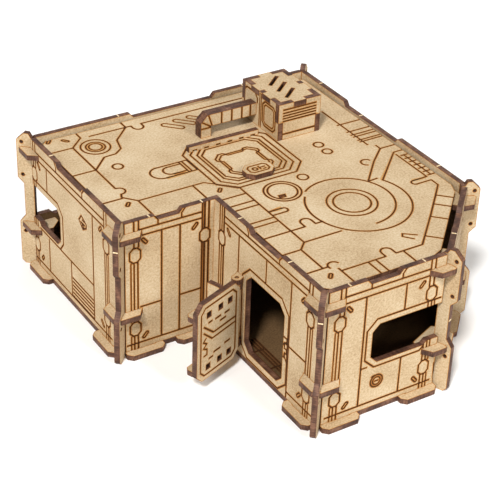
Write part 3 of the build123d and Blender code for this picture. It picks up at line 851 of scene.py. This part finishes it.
def makeWalls():
    for name, wall in walls.items():
        node = "wall_" + name
        facing = awayFromRoom(node)
        low = readPlate(node, facing).low
        strokes = shifted(wall["drawing"], low[0] - wall["inset"], low[1])
        # the walls' inner faces carry the painted shade of the interior
        makePlate(node, "shell", facing, strokes, tabs=wall["tabs"], backSlot=paintedShadeSlot)


makeWalls()
print("walls made")


def archPoints(x, y, radius, legs, angle):
    # a half circle on two short legs that stands on a line; angle turns it
    shape = [(radius, 0)] + arcPoints(0, legs, radius, 0, 180, 10) + [(-radius, 0)]
    c, s = math.cos(math.radians(angle)), math.sin(math.radians(angle))
    return [(x + u * c - v * s, y + u * s + v * c) for u, v in shape]


def notchedBox(cx, cy, wide, high, cut, notch):
    # a cut-cornered box with a shallow notch in the middle of each side
    def side(a, b):
        return [(-a + cut, -b), (-a * 0.5, -b), (-a * 0.5 + notch, -b + notch),
                (a * 0.5 - notch, -b + notch), (a * 0.5, -b), (a - cut, -b)]

    south, east = side(wide / 2, high / 2), side(high / 2, wide / 2)
    shape = south + [(-v, u) for u, v in east] + [(-u, -v) for u, v in south] + [(v, -u) for u, v in east]
    return [(cx + u, cy + v) for u, v in shape]


# in mm from the front corner where the door wall meets the front wall, x to the right and y to the back
hatch = {"x": 36.6, "y": 131.6, "panelBack": 2.6}
roof = {
    "tabs": [(62, 6), (58, 60), (30, 99), (100, 190)],
    "leftBay": [
        line((-28, 200), (-28, 192), (-36.5, 184), (-36.5, 135.2)),
        line((-36.5, 129), (-37.8, 126), (-32, 119.2)),
        line((-51, 184), (-36.5, 184)), line((-51, 157), (-36.5, 157)), line((-51, 125), (-38, 125)),
        line(*archPoints(-36.5, 132.1, 3.1, 0.6, -90)), line((-32, 119.2), (-32, 104)),
        line((-32, 119.2), (6, 119.2), (19.6, 106.6), (19.6, 46.2), (14.6, 41.4), (14.6, 22.6)),
        line((-0.5, 119.2), (-0.5, 104)), line((-23, 191.4), (2.2, 191.4)), line((8.4, 191.4), (80, 191.4)),
        line(*archPoints(5.3, 191.4, 3.1, 2.4, 180)), line((-1, 200), (-1, 191.4), (-12, 180.6)),
        line((-36.5, 157), (-26.4, 167.2), (-19.4, 167.6), (-14.4, 171.4), (-12, 180.6)),
        ring(-25.4, 179.4, 8.0), ring(-25.4, 179.4, 5.2), ring(-25.4, 179.4, 3.6), ring(-24.8, 155, 2.8),
    ],
    "capsulePort": [
        line((10, 144), (-8.4, 144), *arcPoints(-8.4, 138.2, 5.8, 90, 270, 14), (-8.4, 132.4), (10, 132.4)),
        line((5.2, 142), (-3, 142), *arcPoints(-3, 138.2, 3.8, 90, 270, 12), (-3, 134.4), (5.2, 134.4)),
        *[line((x, 144), (x, 132.4)) for x in (5.2, 7, 10)],
    ],
    "frontBay": [
        *[line((4, y), (x, y)) for y, x in ((99.6, 19.6), (91.6, 19.6), (87, 19.6), (73, 19.6), (69, 19.6),
                                            (58, 28), (41.4, 14.6), (22.6, 17.8))],
        line((34.2, 58), (38.4, 58)), line(*archPoints(31.1, 58, 3.1, 3.6, 0)),
        line((19.6, 74.6), (27.8, 74.6), *arcPoints(27.8, 76.5, 1.9, -90, 90, 8), (27.8, 78.4), (19.6, 78.4)),
        line((19.6, 46.2), (41.6, 46.2)), line(*arcPoints(20.8, 22.2, 3.2, 200, 20, 12)),
        line((21.2, 19.2), (21.2, 6)), line((21.2, 16.8), (47, 16.8)), line((53.2, 16.8), (69, 16.8)),
        line(*archPoints(50.1, 16.8, 3.1, 3.4, 0)), *[line((x, 16.8), (x, 6)) for x in (36.6, 41, 57.4)],
    ],
    "rightSide": [
        line((69, 16.8), (90, 37.4), (104, 51.6), (111.6, 59.4), (111.6, 65.2)),
        line((111.6, 65.2), (102.4, 65.2), *arcPoints(102.4, 67.1, 1.9, 270, 90, 8), (102.4, 69),
             (111.6, 69)),
        line((111.6, 69), (111.6, 96)), line((72, 25.2), (66.4, 29.6), (64.8, 27.4), (68.6, 23), width=0.4),
        *[line((x, y), (x + 6.5, y - 6.5)) for x, y in ((75, 22.6), (88.6, 36), (97.6, 45), (104, 51.6))],
        *[line((113, y), (118, y)) for y in (93.6, 90, 86, 82, 78, 74, 70)], line((115, 94), (115, 69.6)),
        line((82, 80), (96.6, 95.4), (108, 105.4), (108, 109.4)), line((108, 105.4), (119, 105.4)),
        line((89, 77), (112, 98.6), (119, 98.6)), line(*arcPoints(92.6, 96.6, 3.0, 20, 250, 14)),
        line((104.4, 112), (104.4, 156)),
        *[line((102.6, y), (119, y)) for y in (138.2, 129, 125.2, 122.8, 118.6, 116.6)],
    ],
    "rings": [
        ring(62, 66.2, 9.7), ring(62, 66.2, 13.0), line(*arcPoints(64.8, 64.4, 27.4, 140, 388, 60)),
        line(*arcPoints(61, 67.4, 23.7, 126, -90, 50)), line((82.2, 79.6), (87.6, 80)), ring(37, 92.4, 9.8),
        ring(37, 92.4, 7.8), ring(54.2, 99.6, 2.9), ring(81, 124.8, 2.7), ring(81, 116.4, 2.7),
    ],
    "slots": [
        *[loop(*pillPoints(x, y, 13, 3.4, -45), width=0.4)
          for x, y in ((22.4, 180.4), (30.4, 181.8), (39, 182))],
        *dashes((14.2, 15.6, 50), (9.4, 108.6, 50), (-38.2, 118.4, 50), (-36.6, 193, -50), (-45, 196, 50)),
    ],
    "hatch": [
        *[loop(*cutBox(hatch["x"], hatch["y"], wide, high, cut), width=width)
          for wide, high, cut, width in ((52.0, 51.0, 8.0, 0.55), (44.6, 44.4, 6.4, 0.5),
                                         (38.4, 38.6, 5.4, 0.55), (34.6, 34.6, 5.0, 0.5))],
        *[loop(*notchedBox(hatch["x"], hatch["y"] - hatch["panelBack"], wide, high, cut, notch), width=width)
          for wide, high, cut, notch, width in ((26.0, 24.0, 4.0, 1.4, 0.5), (22.6, 20.6, 3.4, 1.2, 0.4))],
    ],
    "patch": [
        loop((32.4, 87.4), (35.4, 87.0), (36.4, 89.4), (32.8, 89.6), width=0.45),
        line((33.4, 88.4), (35.8, 88.4), width=0.4),
    ],
}
roofGroups = ("leftBay", "capsulePort", "frontBay", "rightSide", "rings", "slots", "hatch", "patch")


def frontCorner():
    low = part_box("wall_front")[0]
    return low.x / mm - frontWall["inset"], low.y / mm


def makeRoof():
    strokes = [stroke for group in roofGroups for stroke in roof[group]]
    # the roof's underside carries the painted shade of the interior
    makePlate("roof_plate", "roof", (0, 0, 1), shifted(strokes, *frontCorner()),
              tabs=roof["tabs"], backSlot=paintedShadeSlot)


makeRoof()
print("roof made")

# each plate's own millimetres from its lower left corner
ventBox = {
    "lidTabs": [(3, 3)], "sideDeep": 37.0,
    "front": [*[line((3, z), (24, z)) for z in (18.0, 16.0, 14.4, 12.8, 11.2)], line((3, 3.4), (24, 3.4))],
    "side": [loop(*cutBox(27.4, 10.4, 12.8, 14.6, 2.2)), loop(*cutBox(27.4, 10.4, 9.6, 11.4, 1.4), width=0.3),
             line((19.4, 1.0), (19.4, 20.5), width=0.35), line((18.0, 1.0), (18.0, 20.5), width=0.35),
             line((2.4, 6.0), (2.4, 16.6), (4.6, 18.8), (13.0, 18.8), (15.6, 16.2), (15.6, 13.8))],
}
pipe = {
    "long": 35.0,
    "lines": [*[line((x, 6.6), (x, 13.0), width=0.4) for x in (12.8, 19.2, 25.6, 31.0)],
              line((0.4, 5.6), (6.2, 5.6), width=0.4), line((0.6, 9.6), (6.4, 5.9), width=0.4),
              line((4.6, 13.0), (6.8, 6.6), width=0.4)],
}
handle = {
    "lines": [loop(*cutBox(8.5, 5.75, 11.6, 6.6, 1.6), width=0.4), ring(6.4, 5.6, 1.3, 0.6),
              line((9.2, 4.0), (9.2, 7.6), width=0.4), line((9.2, 6.0), (12.6, 6.0), width=0.45),
              line((10.6, 4.0), (12.4, 4.4), width=0.4)],
}


def makeFitting(node, facing, strokes=()):
    low = readPlate(node, facing).low
    makePlate(node, "roof", facing, shifted(strokes, *low))


def makeVent():
    makeFitting("vent_front_plate", (0, -1, 0), ventBox["front"])
    makeFitting("vent_back_plate", (0, 1, 0), ventBox["front"])
    makeFitting("vent_left_plate", (-1, 0, 0), ventBox["side"])
    makeFitting("vent_right_plate", (1, 0, 0), mirrored(ventBox["side"], ventBox["sideDeep"]))
    makePlate("vent_lid_plate", "roof", (0, 0, 1), tabs=ventBox["lidTabs"])


def makePipe():
    makeFitting("pipe_front_layer", (0, -1, 0), pipe["lines"])
    makeFitting("pipe_back_layer", (0, 1, 0), mirrored(pipe["lines"], pipe["long"]))


makeVent()
makePipe()
makeFitting("hatch_handle_plate", (0, 0, 1), handle["lines"])
makeFitting("hatch_hinge_strip", (0, -1, 0))
print("roof fittings made")

# inner is in millimetres from the hinge edge and above the lower edge
door = {
    "wide": 33.4, "facing": (0.36, -0.93, 0), "ribFacing": (0.93, 0.36, 0),      # as the door stands open
    "inner": [
        loop(*cutBox(16.7, 23.0, 27.6, 40.4, 3.0), width=0.4),
        line((2.9, 25.9), (20.8, 25.8), (28.4, 32.6)),
        line((2.9, 22.8), (21.8, 22.6), (28.4, 28.8), width=0.4),
        line((28.0, 14.8), (25.6, 14.8), (25.6, 18.0), (28.6, 19.6), (25.8, 21.4), (28.6, 23.4), (26.4, 25.2),
             width=0.45),
        *[line((x - long / 2, y), (x + long / 2, y), width=0.55)
          for x, y, long in ((10.2, 32.6, 3.4), (17.4, 33.0, 4.0), (23.4, 33.4, 2.6), (13.4, 30.0, 4.4),
                             (9.4, 14.2, 4.0), (17.6, 13.4, 5.0), (22.4, 11.4, 3.0))],
    ],
    "outer": [loop(*cutBox(16.7, 23.0, 27.6, 40.4, 3.0), width=0.4), line((3, 23), (30.4, 23), width=0.4)],
}


def makeDoor():
    low = readPlate("door_leaf", door["facing"]).low
    inner = shifted(mirrored(door["inner"], door["wide"]), *low)
    makePlate("door_leaf", "door", door["facing"], inner, shifted(door["outer"], *low))
    makePlate("door_rib", "door", door["ribFacing"])
    for level in ("lower", "upper"):
        makePlate("door_strap_" + level, "door", (0, 0, 1))
        makePlate("hinge_lug_" + level, "shell", (0, 0, 1))
        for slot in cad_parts["hinge_pin_" + level].material_slots:
            slot.material = dowelMaterial


makeDoor()
print("door made")

corners = {
    "names": ("back_left", "front_left", "front_step", "front_right", "right", "back_right"),
    "finFacing": (-0.5, -0.7, 0),
    "highTabs": ("front_left", "front_step"), "highTab": (0, 68.5), "lowTab": (6, 42),   # mm on the fin
}
floorPlate = {      # mm, as on the roof
    "paintedShadeReach": 2.4,       # how far the painted indoor shade runs on below the walls
    "threshold": [*[line((x, 24.0), (x, 76.0)) for x in (6.0, 9.4, 11.2, 13.0)],
                  *[line((6.0, y), (13.0, y)) for y in (34.0, 50.0, 66.0)]],
}


def makeCorners():
    for name in corners["names"]:
        tab = corners["highTab"] if name in corners["highTabs"] else corners["lowTab"]
        makePlate("fin_" + name, "shell", corners["finFacing"], tabs=[tab])
        for level in ("lower", "upper"):
            makePlate("collar_" + level + "_" + name, "shell", (0, 0, 1))


def makeFloor():
    inner = readPlate("roof_plate", (0, 0, 1)).loops[0]       # the roof fits inside the walls
    threshold = shifted(floorPlate["threshold"], *frontCorner())
    # the floor inside the walls gets painted shade, for the dark interior
    makePlate("floor_plate", "shell", (0, 0, 1), threshold,
              withPaintedShade=grow(inner, floorPlate["paintedShadeReach"]))


makeCorners()
makeFloor()
print("corners and floor made")
